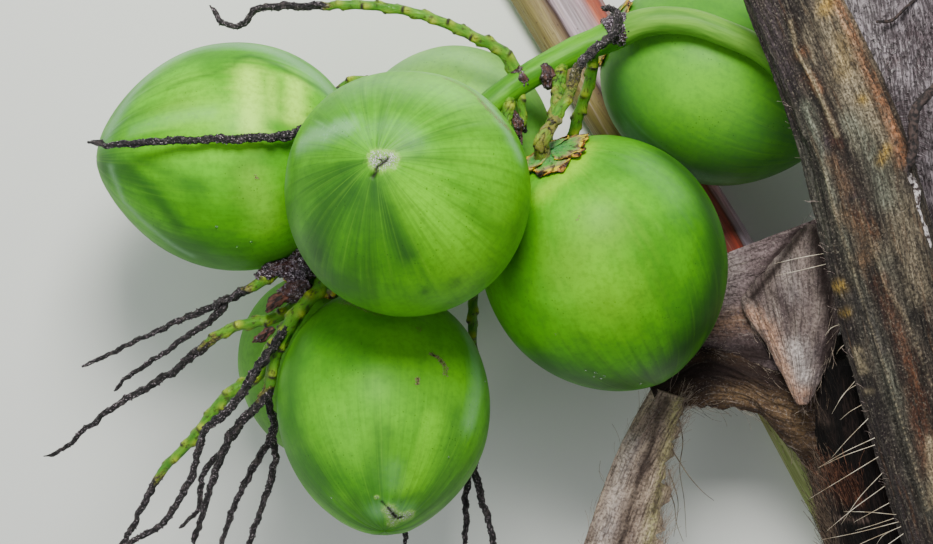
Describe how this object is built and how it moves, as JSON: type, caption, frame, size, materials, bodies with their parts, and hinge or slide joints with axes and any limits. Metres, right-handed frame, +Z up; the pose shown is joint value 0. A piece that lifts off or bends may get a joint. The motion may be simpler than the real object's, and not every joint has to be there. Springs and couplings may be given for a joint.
{
  "type": "cut coconut palm fruit bunch with leaf stalks",
  "caption": "Cut piece of a coconut palm crown: green coconuts on their stalk and dried spikelets, with leaf stalks and torn fibrous sheath.",
  "frame": {"origin": "bottom centre of the whole piece's bounding box, on the surface that it lies on", "axes": "+Z up, away from the surface it lies on; +X across the bunch from the spikelet tips towards the leaf bases; +Y along the leaf stalks from their sawn lower ends upwards"},
  "size_m": [0.9495, 0.6521, 0.4398],
  "materials": {
    "nut_skin": "smooth waxy green skin",
    "calyx": "dull scaly green-brown",
    "green_stalk": "smooth satin green",
    "spikelet": "dry and knobbly, green near the base",
    "dry_leaf_stalk": "weathered, ridged along its length",
    "rear_leaf_stalk": "smooth, red-brown to olive",
    "fibre": "coarse dark fibre",
    "sheath": "matted fibre cloth, grey-brown",
    "bare_twig": "dry, mottled white and dark"
  },
  "bodies": {
    "root": {"coconut_front": "nut_skin", "coconut_left": "nut_skin", "coconut_lower": "nut_skin", "coconut_right": "nut_skin", "coconut_upper": "nut_skin", "coconut_behind": "nut_skin", "coconut_low": "nut_skin", "calyx_front": "calyx", "calyx_left": "calyx", "calyx_lower": "calyx", "calyx_right": "calyx", "calyx_upper": "calyx", "calyx_behind": "calyx", "calyx_low": "calyx", "bunch_stalk": "green_stalk", "bunch_axis": "green_stalk", "fruit_stem_front": "green_stalk", "fruit_stem_left": "green_stalk", "fruit_stem_lower": "green_stalk", "fruit_stem_right": "green_stalk", "fruit_stem_upper": "green_stalk", "fruit_stem_behind": "green_stalk", "fruit_stem_low": "green_stalk", "twig_sweep_1": "spikelet", "twig_sweep_2": "spikelet", "twig_sweep_3": "spikelet", "twig_long_1": "spikelet", "twig_long_2": "spikelet", "twig_long_3": "spikelet", "twig_long_4": "spikelet", "twig_inner_1": "spikelet", "twig_inner_2": "spikelet", "twig_right_1": "spikelet", "twig_right_2": "spikelet", "twig_lower": "spikelet", "twig_top": "spikelet", "twig_across": "spikelet", "twig_stub": "spikelet", "twig_node_right": "spikelet", "twig_node_behind": "spikelet", "twig_collar": "spikelet", "leaf_stalk_front": "dry_leaf_stalk", "leaf_base_right": "dry_leaf_stalk", "leaf_stalk_rear": "rear_leaf_stalk", "fibre_pad": "fibre", "sheath_flap": "sheath", "sheath_back": "sheath", "sheath_fold": "sheath", "sheath_strap": "sheath", "bare_twig": "bare_twig"}
  },
  "joints": []
}
